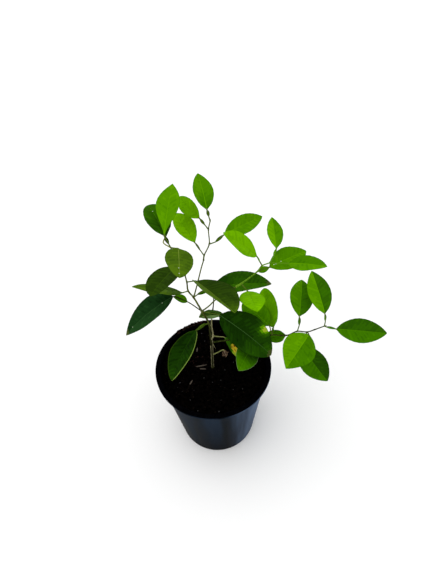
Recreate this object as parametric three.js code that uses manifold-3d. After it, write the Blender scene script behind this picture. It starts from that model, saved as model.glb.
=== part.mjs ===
// A young lime tree in a round plastic nursery pot.
// Millimetres, +Z up. The origin is the centre of the pot's flat underside, and -Y faces the viewer.

import * as THREE from 'three';
import { mergeVertices } from 'three/addons/utils/BufferGeometryUtils.js';
import Module from 'manifold-3d';

const wasm = await Module();
wasm.setup();

// Driving dimensions of the pot and its soil
const potHeight = 146;
const rimRadius = 76;
const lipWidth = 5;
const lipDepth = 4;
const lipRounding = 1;
const baseRadius = 54.5;
const wall = 1.4;
const floorThickness = 2;
const footRounding = 2.5;
const drainHoles = 8;
const drainHoleRadius = 4.5;
const drainCircleRadius = 40;
const potSides = 48;
const soilDrop = 8;
const lumpHeight = 1.1;
const lumpLength = 3.4;
const bankHeight = 4;
const bankFrom = 38;
const bankTo = 68;
const levelWithin = 12;
const lumpyBeyond = 24;
const gap = 0.3;

// Driving dimensions of the plant
const foot = [-1, 1];
const trunkRadiusAtFoot = 1.8;
const trunkRadiusAtTip = 0.75;
const rootFlare = 0.45;
const rootFlareHeight = 9;
const rootRidges = 3;
const rootRidgeShare = 0.35;
const deadStickRadius = 0.9;
const deadStickTipRadius = 0.6;
const stalkRadius = 0.65;
const stalkBaseRadius = 0.75;
const stalkStep = 4;
const stalkUnderBlade = 3;
const bladeOverlap = 0.5;
const wingDroop = 8;
const wingFold = 8;
const leafThickness = 0.9;
const leafEndWidth = 0.7;
const widestPoint = 0.46;
const outlineFullness = 0.75;

const soilTop = potHeight - soilDrop;
const wallRadiusAtTop = rimRadius - lipWidth;
const innerRadiusAt = z => THREE.MathUtils.lerp(baseRadius, wallRadiusAtTop, z / potHeight) - wall;

// Directions: a bearing of 0 is +X and 90 is +Y, and a rise is the angle above the horizon, in degrees.
function heading(bearing, rise) {
  const b = THREE.MathUtils.degToRad(bearing);
  const r = THREE.MathUtils.degToRad(rise);
  return new THREE.Vector3(Math.cos(r) * Math.cos(b), Math.cos(r) * Math.sin(b), Math.sin(r));
}

const bearingAndRise = way => [
  THREE.MathUtils.radToDeg(Math.atan2(way.y, way.x)),
  THREE.MathUtils.radToDeg(Math.asin(way.z / way.length())),
];

// Where a chain of steps, each of a length on a bearing and a rise, has its nodes
function walk(start, steps) {
  const nodes = [start.clone()];
  for (const [length, bearing, rise] of steps) {
    nodes.push(nodes.at(-1).clone().addScaledVector(heading(bearing, rise), length));
  }
  return nodes;
}

// Solids and meshes
function toSolid(geometry) {
  geometry.deleteAttribute('normal');
  geometry.deleteAttribute('uv');
  const merged = mergeVertices(geometry, 1e-4);
  return new wasm.Manifold(new wasm.Mesh({
    numProp: 3,
    vertProperties: new Float32Array(merged.attributes.position.array),
    triVerts: new Uint32Array(merged.index.array),
  }));
}

function toMesh(name, solid, material) {
  const { vertProperties, triVerts } = solid.getMesh();
  const geometry = new THREE.BufferGeometry();
  geometry.setAttribute('position', new THREE.BufferAttribute(vertProperties, 3));
  geometry.setIndex(new THREE.BufferAttribute(triVerts, 1));
  geometry.computeVertexNormals();
  const mesh = new THREE.Mesh(geometry, material);
  mesh.name = name;
  return mesh;
}

const fuse = solids => solids.reduce((whole, solid) => whole.add(solid));

// A closed skin over rows of points, each row a closed ring, with a flat end at the first and last ring
function skin(rings) {
  const sides = rings[0].length;
  const positions = rings.flat().flatMap(p => [p.x, p.y, p.z]);
  const index = [];
  for (let row = 0; row < rings.length - 1; row++) {
    for (let k = 0; k < sides; k++) {
      const next = (k + 1) % sides;
      const a = row * sides + k;
      const b = row * sides + next;
      index.push(a, b, a + sides, b, b + sides, a + sides);
    }
  }
  const last = (rings.length - 1) * sides;
  for (let k = 1; k < sides - 1; k++) {
    index.push(0, k + 1, k);
    index.push(last, last + k, last + k + 1);
  }
  const geometry = new THREE.BufferGeometry();
  geometry.setAttribute('position', new THREE.Float32BufferAttribute(positions, 3));
  geometry.setIndex(index);
  return toSolid(geometry);
}

// A round limb on a smooth curve through its nodes, with a radius for each place along it from 0 to 1
function limb(nodes, radiusAt, sides, stepLength = 7) {
  const curve = new THREE.CatmullRomCurve3(nodes, false, 'centripetal');
  const steps = Math.max(2, Math.round(curve.getLength() / stepLength));
  const frames = curve.computeFrenetFrames(steps, false);
  const rings = [];
  for (let i = 0; i <= steps; i++) {
    const at = i / steps;
    const centre = curve.getPointAt(at);
    const ring = [];
    for (let k = 0; k < sides; k++) {
      const turn = 2 * Math.PI * k / sides;
      const out = frames.normals[i].clone().multiplyScalar(Math.cos(turn))
        .addScaledVector(frames.binormals[i], Math.sin(turn));
      ring.push(centre.clone().addScaledVector(out, radiusAt(at, turn)));
    }
    rings.push(ring);
  }
  return skin(rings);
}

const taper = (from, to) => at => THREE.MathUtils.lerp(from, to, at);

// Half the width of a leaf, as a share of its widest, at each place from its base to its tip
function leafOutline(at, widest, fullness) {
  const eased = at ** (Math.log(0.5) / Math.log(widest));
  return Math.sin(Math.PI * eased) ** fullness;
}

// A leaf blade: folded along its midrib and arched over its length, with a small blunt base and tip
function blade(base, spec, stations = 7) {
  const { blade: [length, width], aim: [bearing, rise], roll, droop, fold = 14 } = spec;
  const { widest = widestPoint, fullness = outlineFullness } = spec;
  const along = heading(bearing, rise);
  const level = heading(bearing + 90, 0);
  const upright = along.clone().cross(level);
  const tilt = THREE.MathUtils.degToRad(roll);
  const side = level.clone().multiplyScalar(Math.cos(tilt)).addScaledVector(upright, Math.sin(tilt));
  const up = along.clone().cross(side);
  const arch = THREE.MathUtils.degToRad(droop);
  const archRadius = length / arch;
  const foldAngle = THREE.MathUtils.degToRad(fold);
  const rings = [];
  for (let i = 0; i <= stations; i++) {
    const at = i / stations;
    const swing = (at - 0.5) * arch;
    const rib = base.clone()
      .addScaledVector(along, archRadius * (Math.sin(swing) + Math.sin(arch / 2)))
      .addScaledVector(up, archRadius * (Math.cos(swing) - Math.cos(arch / 2)));
    const outline = leafOutline(at, widest, fullness);
    const half = Math.max(leafEndWidth, width * outline * Math.cos(foldAngle)) / 2;
    const point = (across, height) => rib.clone().addScaledVector(side, across)
      .addScaledVector(up, height + Math.abs(across) * Math.tan(foldAngle));
    const under = [0, half].map(across => point(across, -leafThickness / 2));
    const over = [half, 0, -half].map(across => point(across, leafThickness / 2));
    rings.push([...under, ...over, point(-half, -leafThickness / 2)]);
  }
  return skin(rings);
}

// A leaf on its stalk, grown from a stem's node. The stalk starts so far from the stem's middle line and
// runs on under the blade's base. A bow bends its middle aside, and its thin wings are a narrow blade.
function leaf(node, spec, start = 0) {
  const { stalk: [length, bearing, rise], bow: [bowDepth, ...bowWay] = [0, 0, 90] } = spec;
  const way = heading(bearing, rise);
  const base = node.clone().addScaledVector(way, length);
  const aim = heading(...spec.aim);
  const bowedBack = share => base.clone().addScaledVector(way, -share * length)
    .addScaledVector(heading(...bowWay), bowDepth * 4 * share * (1 - share));
  const heel = node.clone().addScaledVector(way, start);
  const under = base.clone().addScaledVector(aim, stalkUnderBlade);
  const stalkNodes = [heel, bowedBack(0.5), base, under];
  const stalk = limb(stalkNodes, taper(stalkBaseRadius, stalkRadius), 4, stalkStep);
  const solids = [stalk, blade(base.clone().addScaledVector(aim, -bladeOverlap), spec)];
  if (spec.wing) {
    const [share, width, roll, fold = wingFold] = spec.wing;
    const wingStart = bowedBack(share);
    const wingWay = base.clone().sub(wingStart);
    solids.push(blade(wingStart, {
      blade: [wingWay.length(), width],
      aim: bearingAndRise(wingWay),
      roll,
      droop: wingDroop,
      fold,
    }, 3));
  }
  return fuse(solids);
}

// Where along its own line a limb or leaf has to start, for its solid to stand one gap clear of its bearer
function seatOn(bearer, grow) {
  let near = 0;
  let far = 9;
  for (let halving = 0; halving < 8; halving++) {
    const start = (near + far) / 2;
    if (bearer.minGap(grow(start), far) > gap) {
      far = start;
    } else {
      near = start;
    }
  }
  return grow(far);
}

// Pot: a tapered shell with an outward lip and a ring of drain holes in its floor
function pot() {
  const floorRadius = innerRadiusAt(floorThickness);
  const profile = [
    [0, 0],
    [baseRadius - footRounding, 0],
    [baseRadius, footRounding],
    [wallRadiusAtTop, potHeight - lipDepth],
    [rimRadius - lipRounding, potHeight - lipDepth],
    [rimRadius, potHeight - lipDepth + lipRounding],
    [rimRadius, potHeight - lipRounding],
    [rimRadius - lipRounding, potHeight],
    [wallRadiusAtTop - wall + lipRounding / 2, potHeight],
    [wallRadiusAtTop - wall, potHeight - lipRounding / 2],
    [floorRadius, floorThickness],
    [0, floorThickness],
  ].map(([r, z]) => new THREE.Vector2(r, z));
  const shell = new THREE.LatheGeometry(profile, potSides);
  shell.rotateX(Math.PI / 2);
  const drain = new THREE.CylinderGeometry(drainHoleRadius, drainHoleRadius, 3 * floorThickness, 16);
  drain.rotateX(Math.PI / 2);
  let solid = toSolid(shell);
  const plug = toSolid(drain);
  for (let k = 0; k < drainHoles; k++) {
    const turn = 2 * Math.PI * (k + 0.5) / drainHoles;
    const at = [drainCircleRadius * Math.cos(turn), drainCircleRadius * Math.sin(turn), floorThickness / 2];
    solid = solid.subtract(plug.translate(at));
  }
  return solid;
}

// Soil: fills the pot, level round the trunk's foot, lumpy elsewhere and banked up at the back left
function soilHeight(x, y) {
  const away = Math.hypot(x - foot[0], y - foot[1]);
  const rough = THREE.MathUtils.smoothstep(away, levelWithin, lumpyBeyond);
  const coarse = Math.sin(x / lumpLength + 1) * Math.cos(y / lumpLength);
  const fine = Math.sin((x / 2 + y) / lumpLength) / 2;
  const bank = THREE.MathUtils.smoothstep((y - x) / Math.SQRT2, bankFrom, bankTo);
  return soilTop + rough * lumpHeight * (coarse + fine) * (1 - bank) + bankHeight * bank;
}

function soil() {
  const floor = floorThickness + gap;
  const top = soilTop;
  const rings = 6;
  const edge = innerRadiusAt(top) - gap;
  const profile = [[0, floor], [innerRadiusAt(floor) - gap - 0.1, floor], [edge, top]];
  for (let k = rings - 1; k >= 0; k--) {
    profile.push([(edge - 0.4) * k / rings, top + 1]);
  }
  const heap = new THREE.LatheGeometry(profile.map(([r, z]) => new THREE.Vector2(r, z)), potSides);
  heap.rotateX(Math.PI / 2);
  const at = heap.attributes.position;
  for (let i = 0; i < at.count; i++) {
    if (at.getZ(i) > top - 1) {
      at.setZ(i, soilHeight(at.getX(i), at.getY(i)));
    }
  }
  return toSolid(heap);
}

// Stems, as steps of [length, bearing, rise] from node to node
const trunkSteps = [
  [47, 78, 82], [12, 104, 81], [21, 104, 81], [21, 156, 69],
  [24, 162, 70], [12, 175, 65], [16, 263, 86], [11, 230, 84],
];
const trunkNodes = walk(new THREE.Vector3(foot[0], foot[1], soilTop + gap), trunkSteps);
const trunkNode = {
  low: 1, lowLeaf: 2, belowFork: 3, rightFork: 4, topFork: 5, leftLeaf: 6, frontLeaf: 7, tip: 8,
};

function trunk() {
  const flareShare = rootFlareHeight / trunkSteps.reduce((sum, [length]) => sum + length, 0);
  const radiusAt = (at, turn) => {
    const swell = Math.max(0, 1 - at / flareShare) ** 2;
    const ridge = 1 + rootRidgeShare * Math.cos(rootRidges * turn);
    return taper(trunkRadiusAtFoot, trunkRadiusAtTip)(at) + rootFlare * swell * ridge;
  };
  const whole = limb(trunkNodes, radiusAt, 10, 4.5);
  const groundDepth = 20;
  const ground = new THREE.BoxGeometry(40, 40, groundDepth);
  ground.translate(foot[0], foot[1], soilTop + gap - groundDepth / 2);
  return whole.subtract(toSolid(ground));
}

const trunkSolid = trunk();

// A limb that leaves a stem's node by these steps, seated on that stem
function limbFrom(bearer, node, steps, radiusAt, sides) {
  const nodes = walk(node, steps);
  const way = heading(steps[0][1], steps[0][2]);
  return seatOn(bearer, start => {
    return limb([node.clone().addScaledVector(way, start), ...nodes.slice(1)], radiusAt, sides);
  });
}

// A side bough, from the trunk's node to where its foliage takes over
const boughs = {
  top_bough: {
    from: 'topFork', radii: [0.8, 0.7], steps: [[4, 44, 62], [11, 44, 64], [25, 40, 68], [9, 36, 66]],
  },
  right_bough: {
    from: 'rightFork', radii: [0.8, 0.75], steps: [[14, 347, 50], [18, 343, 56], [34, 344, 47]],
  },
  low_right_bough: { from: 'low', radii: [0.95, 0.9], steps: [[24, 2, 4], [22, 356, 12]] },
};

const boughNodes = ({ from, steps }) => walk(trunkNodes[trunkNode[from]], steps);

function bough(spec) {
  return limbFrom(trunkSolid, boughNodes(spec)[0], spec.steps, taper(...spec.radii), 8);
}

// How far up the trunk's first step the dry scrap of a leaf hangs
const dryScrapShare = 0.5;

// The pale dead stick that rises from the trunk's back and passes behind the leaf there
const deadStickFrom = 0.35;
const deadStickSteps = [[9, 5, 72], [13, 95, 35], [10, 80, 50], [10, 65, 65], [11, 35, 80], [16, 50, 86]];

function deadStick() {
  const node = trunkNodes[trunkNode.low].clone().lerp(trunkNodes[trunkNode.lowLeaf], deadStickFrom);
  return limbFrom(trunkSolid, node, deadStickSteps, taper(deadStickRadius, deadStickTipRadius), 6);
}

// Foliage. Each leaf has a stalk of [length, bearing, rise], a blade of [length, width], and an aim of
// [bearing, rise]. Roll turns the blade about its length, droop is its arch and fold is how far its halves
// rise. Widest is the place of its greatest width, and a lower fullness makes its outline rounder. A wing
// is [share of the stalk's length, width, roll] and at times its fold. A bow is [depth, bearing, rise].
const leavesOnTrunk = {
  leaf_left_long: {
    from: 'leftLeaf', stalk: [7, 187, -9], blade: [59, 31], aim: [191, 26], roll: 24, droop: 8, fold: 2,
  },
  leaf_front: {
    from: 'frontLeaf', stalk: [13, 333, 28], blade: [76, 45], aim: [301, 13],
    roll: -27, droop: 6, fold: 27, widest: 0.5, fullness: 0.62,
  },
  leaf_back_right: {
    from: 'topFork', stalk: [22, 21, 8], bow: [3, 0, 90], blade: [71, 39], aim: [355, 7],
    roll: -7, droop: 27, fold: 17, widest: 0.48, wing: [0.8, 5, 10],
  },
  leaf_large_right: {
    from: 'rightFork', stalk: [22, 338, 2], blade: [83, 47], aim: [334, -36],
    roll: 21, droop: 40, fold: 22, fullness: 0.7, wing: [0.6, 3, 19],
  },
  leaf_left_low: {
    from: 'rightFork', stalk: [41, 176, 41], bow: [4, 0, 90], blade: [74, 41], aim: [201, -30],
    roll: 6, droop: 28, widest: 0.42, fullness: 0.8, wing: [0.5, 12, -15, 30],
  },
  leaf_behind_trunk: {
    from: 'rightFork', stalk: [13, 160, -73], blade: [30, 20], aim: [0, 3],
    roll: -83, droop: 14, fullness: 0.6,
  },
  leaf_over_pot: {
    from: 'belowFork', stalk: [19, 186, -32], bow: [2, 0, 90], blade: [68, 36], aim: [239, -21],
    roll: 23, droop: 26, widest: 0.48, fullness: 0.7, wing: [0.8, 9, 22],
  },
  leaf_spotted: {
    from: 'lowLeaf', stalk: [26, 26, -42], blade: [38, 19], aim: [319, -47],
    roll: -19, droop: 21, widest: 0.49, fullness: 0.69,
  },
  dry_scrap: {
    from: 'foot', stalk: [20, 352, 40], blade: [12, 8], aim: [305, -62], roll: 10, droop: 30, fold: 20,
  },
};

// A shoot's leaves are keyed by the step of its twig that ends at their node.
const shoots = {
  leader_foliage: {
    from: 'trunk',
    radii: [0.75, 0.6],
    steps: [[14, 206, 77], [34, 214, 76]],
    leaves: [
      [0, {
        stalk: [7, 211, 28], blade: [52, 29], aim: [243, 9],
        roll: 4, droop: 22, fold: 16, widest: 0.51, fullness: 0.5,
      }],
      [1, {
        stalk: [12, 317, 23], blade: [49, 27], aim: [273, 9], roll: -15, droop: 11, fold: 8, fullness: 0.59,
      }],
      [1, {
        stalk: [14, 138, 61], blade: [54, 26], aim: [75, 35],
        roll: -8, droop: 15, fold: 12, widest: 0.6, fullness: 0.95, wing: [0.7, 4, -8],
      }],
      [1, {
        stalk: [12, 120, 50], bow: [5, 180, 0], blade: [49, 30], aim: [114, 10],
        roll: -2, droop: 43, fold: 33, widest: 0.4,
      }],
    ],
  },
  top_foliage: {
    from: 'top_bough',
    radii: [0.7, 0.6],
    steps: [[6, 54, 72], [15, 25, 62], [18, 81, 80], [10, 24, 75]],
    leaves: [
      [0, {
        stalk: [19, 155, 59], blade: [44, 23], aim: [119, 17],
        roll: -6, droop: 26, fold: 20, widest: 0.49, fullness: 0.7, wing: [0.6, 3, -4],
      }],
      [1, {
        stalk: [20, 4, 33], bow: [2.5, 0, -90], blade: [46, 22], aim: [21, 10],
        roll: 27, droop: 20, fold: 15, widest: 0.5, wing: [0.6, 4, 24],
      }],
      [2, {
        stalk: [15, 140, 41], blade: [39, 18], aim: [124, 9],
        roll: -36, droop: 20, fold: 25, fullness: 0.65, wing: [0.6, 3, -33],
      }],
      [3, {
        stalk: [13, 120, 67], blade: [42, 22], aim: [101, 29], roll: 9, droop: 20, wing: [0.6, 4, 9],
      }],
    ],
  },
  right_foliage: {
    from: 'right_bough',
    radii: [1.0, 0.6],
    steps: [[8, 344, 47], [27, 343, 52], [11, 338, 63], [9, 343, 36]],
    leaves: [
      [0, {
        stalk: [11, 305, -19], blade: [45, 26], aim: [277, 20],
        roll: -4, droop: 15, fold: 7, widest: 0.5, fullness: 0.78,
      }],
      [1, {
        stalk: [14, 353, 28], blade: [47, 25], aim: [27, -1], roll: 23, droop: 20, wing: [0.95, 7, 60],
      }],
      [2, {
        stalk: [14, 173, 66], blade: [45, 24], aim: [176, 44],
        roll: -12, droop: 18, fold: 11, widest: 0.5, wing: [0.6, 3, -12],
      }],
      [3, {
        stalk: [17, 34, 62], bow: [1.5, 0, 0], blade: [37, 17], aim: [90, 17],
        roll: 12, droop: 16, fullness: 0.8, wing: [0.6, 3, 17],
      }],
      [3, { stalk: [19, 357, -5], blade: [41, 21], aim: [326, 19], roll: 7, droop: 15, fold: 11 }],
    ],
  },
  low_right_foliage: {
    from: 'low_right_bough',
    radii: [0.9, 0.65],
    steps: [
      [4, 356, 12], [27, 351, 14], [18, 353, 0], [15, 350, 39], [12, 350, 1], [10, 346, 38], [13, 349, 38],
    ],
    leaves: [
      [0, {
        stalk: [9, 307, 26], blade: [53, 29], aim: [242, 5],
        roll: -31, droop: 5, fold: 10, widest: 0.53, fullness: 0.72,
      }],
      [1, {
        stalk: [12, 64, 74], blade: [53, 29], aim: [97, 20],
        roll: -37, droop: 20, fold: 13, widest: 0.48, fullness: 0.6, wing: [0.6, 4, -39],
      }],
      [1, { stalk: [15, 135, 70], blade: [50, 30], aim: [126, -1], roll: -12, droop: 28, fold: 17 }],
      [2, {
        stalk: [2, 142, -30], blade: [33, 17], aim: [156, -28],
        roll: -56, droop: 20, fold: 12, widest: 0.39, fullness: 0.79,
      }],
      [3, {
        stalk: [24, 77, 80], bow: [1.5, 0, 0], blade: [52, 29], aim: [77, 11],
        roll: 12, droop: 19, fold: 11, widest: 0.48, wing: [0.6, 4, 3],
      }],
      [4, {
        stalk: [5, 278, 12], blade: [62, 39], aim: [234, 7], roll: -17, droop: 12, fold: 5, fullness: 0.83,
      }],
      [4, {
        stalk: [22, 190, -68], blade: [63, 33], aim: [318, -43],
        roll: 46, droop: 20, fold: 12, widest: 0.49, fullness: 0.79,
      }],
      [6, {
        stalk: [20, 117, 80], bow: [1, 0, 0], blade: [55, 28], aim: [98, 21],
        roll: -4, droop: 19, fold: 15, fullness: 0.81, wing: [0.6, 4, -8],
      }],
      [6, {
        stalk: [18, 4, -29], bow: [1.5, 0, -90], blade: [60, 30], aim: [352, -4],
        roll: 34, droop: 18, fold: 15, fullness: 0.78, wing: [0.9, 3, 34],
      }],
    ],
  },
};

function leafOnTrunk(spec) {
  const node = spec.from === 'foot'
    ? trunkNodes[0].clone().lerp(trunkNodes[1], dryScrapShare)
    : trunkNodes[trunkNode[spec.from]];
  return seatOn(trunkSolid, start => leaf(node, spec, start));
}

function shoot({ from, radii, steps, leaves }) {
  const bearer = from === 'trunk' ? trunkSolid : bough(boughs[from]);
  const bearerTip = from === 'trunk' ? trunkNodes.at(-1) : boughNodes(boughs[from]).at(-1);
  const nodes = walk(bearerTip, steps);
  const twig = limbFrom(bearer, bearerTip, steps, taper(...radii), 6);
  const tips = leaves.map(([step, spec]) => leaf(nodes[step + 1], spec));
  return fuse([twig, ...tips]);
}

const plastic = new THREE.MeshStandardMaterial({ color: 0x232b38, roughness: 0.45, metalness: 0 });
const earth = new THREE.MeshStandardMaterial({ color: 0x17100c, roughness: 1, metalness: 0 });
const bark = new THREE.MeshStandardMaterial({ color: 0x6d6a3a, roughness: 0.8, metalness: 0 });
const deadWood = new THREE.MeshStandardMaterial({ color: 0x9a9670, roughness: 0.9, metalness: 0 });
const greenTwig = new THREE.MeshStandardMaterial({ color: 0x6d9632, roughness: 0.6, metalness: 0 });
const youngLeaf = new THREE.MeshStandardMaterial({ color: 0x62a00c, roughness: 0.45, metalness: 0 });
const oldLeaf = new THREE.MeshStandardMaterial({ color: 0x234a12, roughness: 0.4, metalness: 0 });
const dryLeaf = new THREE.MeshStandardMaterial({ color: 0x6b5334, roughness: 0.9, metalness: 0 });

const plant = new THREE.Group();
plant.add(toMesh('pot', pot(), plastic));
plant.add(toMesh('soil', soil(), earth));
plant.add(toMesh('trunk', trunkSolid, bark));
plant.add(toMesh('dead_stick', deadStick(), deadWood));
for (const [name, spec] of Object.entries(boughs)) {
  plant.add(toMesh(name, bough(spec), greenTwig));
}
for (const [name, spec] of Object.entries(leavesOnTrunk)) {
  plant.add(toMesh(name, leafOnTrunk(spec), name === 'dry_scrap' ? dryLeaf : oldLeaf));
}
for (const [name, spec] of Object.entries(shoots)) {
  plant.add(toMesh(name, shoot(spec), youngLeaf));
}

export default plant;
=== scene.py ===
import math
import random

import bpy
from mathutils import Matrix, Vector, noise


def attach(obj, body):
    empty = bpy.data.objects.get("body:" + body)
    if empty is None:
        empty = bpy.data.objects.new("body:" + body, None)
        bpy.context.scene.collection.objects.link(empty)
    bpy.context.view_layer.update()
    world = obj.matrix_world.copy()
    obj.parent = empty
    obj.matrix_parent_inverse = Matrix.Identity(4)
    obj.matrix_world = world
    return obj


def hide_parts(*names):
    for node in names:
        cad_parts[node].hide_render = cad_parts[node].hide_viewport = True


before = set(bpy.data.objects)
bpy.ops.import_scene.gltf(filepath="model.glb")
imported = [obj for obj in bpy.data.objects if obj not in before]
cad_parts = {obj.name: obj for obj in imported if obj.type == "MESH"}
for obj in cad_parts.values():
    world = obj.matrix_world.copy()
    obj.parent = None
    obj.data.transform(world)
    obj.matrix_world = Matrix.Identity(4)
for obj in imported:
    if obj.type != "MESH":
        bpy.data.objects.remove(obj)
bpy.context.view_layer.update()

bpy.ops.object.select_all(action="DESELECT")

MM = 0.001

# The studio. A plain pale floor under an even sky and one very wide, soft light from above and a
# little to the left. The camera stands over the front of the pot and looks down on it, as the
# photograph does. Its focal share is its focal length over the picture's height.

CAMERA_PLACE = (0.0114, -0.3142, 0.6282)
CAMERA_TILT = 43
CAMERA_ROLL = -4
CAMERA_SENSOR = 36
FOCAL_SHARE = 432 / 577
FLOOR_SIDE = 12
FLOOR_PALE = (0.92, 0.92, 0.92, 1)
SKY_WHITE = (1, 1, 1, 1)
SKY_STRENGTH = 0.87
LIGHT_STRENGTH = 1.1
LIGHT_SPREAD = 60
LIGHT_FROM = (-0.22, -0.05, 1)


def paint(red, green, blue):
    """A colour given as it looks on a screen, from 0 to 255, as the shader's own numbers."""
    def linear(value):
        share = value / 255
        return share / 12.92 if share <= 0.04045 else ((share + 0.055) / 1.055) ** 2.4
    return (linear(red), linear(green), linear(blue), 1)


def finish(name, colour, roughness, shine):
    """A material with one colour, roughness and shine, for a section to add its own detail to."""
    made = bpy.data.materials.new(name)
    made.use_nodes = True
    surface = made.node_tree.nodes["Principled BSDF"]
    surface.inputs["Base Color"].default_value = colour
    surface.inputs["Roughness"].default_value = roughness
    surface.inputs["Specular IOR Level"].default_value = shine
    return made


bpy.ops.mesh.primitive_plane_add(size=FLOOR_SIDE, location=(0, 0, 0))
floor = bpy.context.object
floor.name = "floor"
floor.data.materials.append(finish("floor_paper", FLOOR_PALE, roughness=0.9, shine=0.1))

sky = bpy.data.worlds.new("studio_sky")
sky.use_nodes = True
sky_light = sky.node_tree.nodes["Background"]
sky_light.inputs["Color"].default_value = SKY_WHITE
sky_light.inputs["Strength"].default_value = SKY_STRENGTH
bpy.context.scene.world = sky
bpy.context.scene.view_settings.view_transform = "Standard"

bpy.ops.object.light_add(type="SUN", location=(0, 0, 2))
lamp = bpy.context.object
lamp.name = "wide_light"
lamp.data.energy = LIGHT_STRENGTH
lamp.data.angle = math.radians(LIGHT_SPREAD)
lamp.rotation_euler = Vector(LIGHT_FROM).to_track_quat("Z", "Y").to_euler()

camera_data = bpy.data.cameras.new("camera")
camera_data.sensor_width = CAMERA_SENSOR
camera_data.lens = CAMERA_SENSOR * FOCAL_SHARE
camera = bpy.data.objects.new("camera", camera_data)
bpy.context.collection.objects.link(camera)
tilt = Matrix.Rotation(math.radians(CAMERA_TILT), 4, "X")
roll = Matrix.Rotation(math.radians(CAMERA_ROLL), 4, "Z")
camera.matrix_world = Matrix.Translation(CAMERA_PLACE) @ tilt @ roll
bpy.context.scene.camera = camera

# The pot. A round nursery pot, moulded in one piece from thin, dark blue-black plastic. It has a flat
# outward lip, a slight taper, and a ring of drain holes through its floor. Its wall is streaked along
# its height, the streaks also standing in as painted bands of reflection, and lighter on the right with
# a painted sheen. Its lip and inside are nearly black, as painted shade.

POT_HEIGHT = 146
RIM_RADIUS = 76
LIP_WIDTH = 5
LIP_DEPTH = 4
LIP_CHAMFER = 0.9
LIP_ROOT = 0.1
MOUTH_CHAMFER = (0.5, 0.6)
BASE_RADIUS = 54.5
WALL = 1.4
FLOOR_THICKNESS = 2
FOOT_CHAMFER = 2.2
DRAIN_HOLES = 8
DRAIN_RADIUS = 4.5
DRAIN_CIRCLE = 40
HOLE_SIDES = 32
EDGE_ROUNDING = 0.35
POT_SIDES = 144
WALL_RADIUS_AT_TOP = RIM_RADIUS - LIP_WIDTH


def inner_radius(height):
    """The radius of the wall's inside at a height in the pot."""
    share = height / POT_HEIGHT
    return BASE_RADIUS + (WALL_RADIUS_AT_TOP - BASE_RADIUS) * share - WALL


pot_profile = [
    (BASE_RADIUS - FOOT_CHAMFER, 0),
    (BASE_RADIUS, FOOT_CHAMFER),
    (WALL_RADIUS_AT_TOP - LIP_ROOT, POT_HEIGHT - LIP_DEPTH),
    (RIM_RADIUS - LIP_CHAMFER, POT_HEIGHT - LIP_DEPTH),
    (RIM_RADIUS, POT_HEIGHT - LIP_DEPTH + LIP_CHAMFER),
    (RIM_RADIUS, POT_HEIGHT - LIP_CHAMFER),
    (RIM_RADIUS - LIP_CHAMFER, POT_HEIGHT),
    (inner_radius(POT_HEIGHT) + MOUTH_CHAMFER[0], POT_HEIGHT),
    (inner_radius(POT_HEIGHT), POT_HEIGHT - MOUTH_CHAMFER[1]),
    (inner_radius(FLOOR_THICKNESS), FLOOR_THICKNESS),
]

bpy.ops.mesh.primitive_circle_add(
    vertices=POT_SIDES, radius=pot_profile[0][0] * MM, fill_type="NGON", location=(0, 0, 0))
pot = bpy.context.object
pot.name = "nursery_pot"
bpy.ops.object.mode_set(mode="EDIT")
bpy.ops.mesh.select_all(action="SELECT")
bpy.ops.mesh.flip_normals()
bpy.ops.mesh.duplicate()
bpy.ops.mesh.delete(type="ONLY_FACE")
bpy.ops.mesh.select_mode(type="EDGE")
bpy.ops.mesh.select_non_manifold()
for (radius, height), (next_radius, next_height) in zip(pot_profile, pot_profile[1:]):
    rise = (0, 0, (next_height - height) * MM)
    widening = next_radius / radius
    bpy.ops.mesh.extrude_region_move(TRANSFORM_OT_translate={"value": rise})
    bpy.ops.transform.resize(value=(widening, widening, 1), center_override=(0, 0, 0))
bpy.ops.mesh.edge_face_add()
bpy.ops.mesh.select_all(action="SELECT")
bpy.ops.mesh.remove_doubles(threshold=0.00001)
bpy.ops.mesh.normals_make_consistent(inside=False)
bpy.ops.object.mode_set(mode="OBJECT")

for hole in range(DRAIN_HOLES):
    turn = 2 * math.pi * (hole + 0.5) / DRAIN_HOLES
    circle = DRAIN_CIRCLE * MM
    centre = (circle * math.cos(turn), circle * math.sin(turn), FLOOR_THICKNESS * MM / 2)
    bpy.ops.mesh.primitive_cylinder_add(
        vertices=HOLE_SIDES, radius=DRAIN_RADIUS * MM, depth=4 * FLOOR_THICKNESS * MM, location=centre)
    punch = bpy.context.object
    cut = pot.modifiers.new("drain_hole", "BOOLEAN")
    cut.object = punch
    cut.operation = "DIFFERENCE"
    cut.solver = "EXACT"
    bpy.context.view_layer.objects.active = pot
    bpy.ops.object.modifier_apply(modifier=cut.name)
    bpy.data.objects.remove(punch)

rounding = pot.modifiers.new("soft_edges", "BEVEL")
rounding.width = EDGE_ROUNDING * MM
rounding.segments = 3
rounding.limit_method = "ANGLE"
rounding.angle_limit = math.radians(35)
bpy.context.view_layer.objects.active = pot
bpy.ops.object.modifier_apply(modifier=rounding.name)


def shade_smooth(made, angle):
    """Smooths a piece's shading over all edges flatter than an angle in degrees."""
    bpy.ops.object.select_all(action="DESELECT")
    bpy.context.view_layer.objects.active = made
    made.select_set(True)
    bpy.ops.object.shade_smooth_by_angle(angle=math.radians(angle))


shade_smooth(pot, 30)


def node_of(made, kind, **values):
    """A new node in a material, with its plain sockets set by name."""
    node = made.node_tree.nodes.new(kind)
    for name, value in values.items():
        node.inputs[name.replace("_", " ")].default_value = value
    return node


def wire(made, start, out_name, end, in_name):
    """Joins two nodes by the names of their sockets."""
    made.node_tree.links.new(start.outputs[out_name], end.inputs[in_name])


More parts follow.
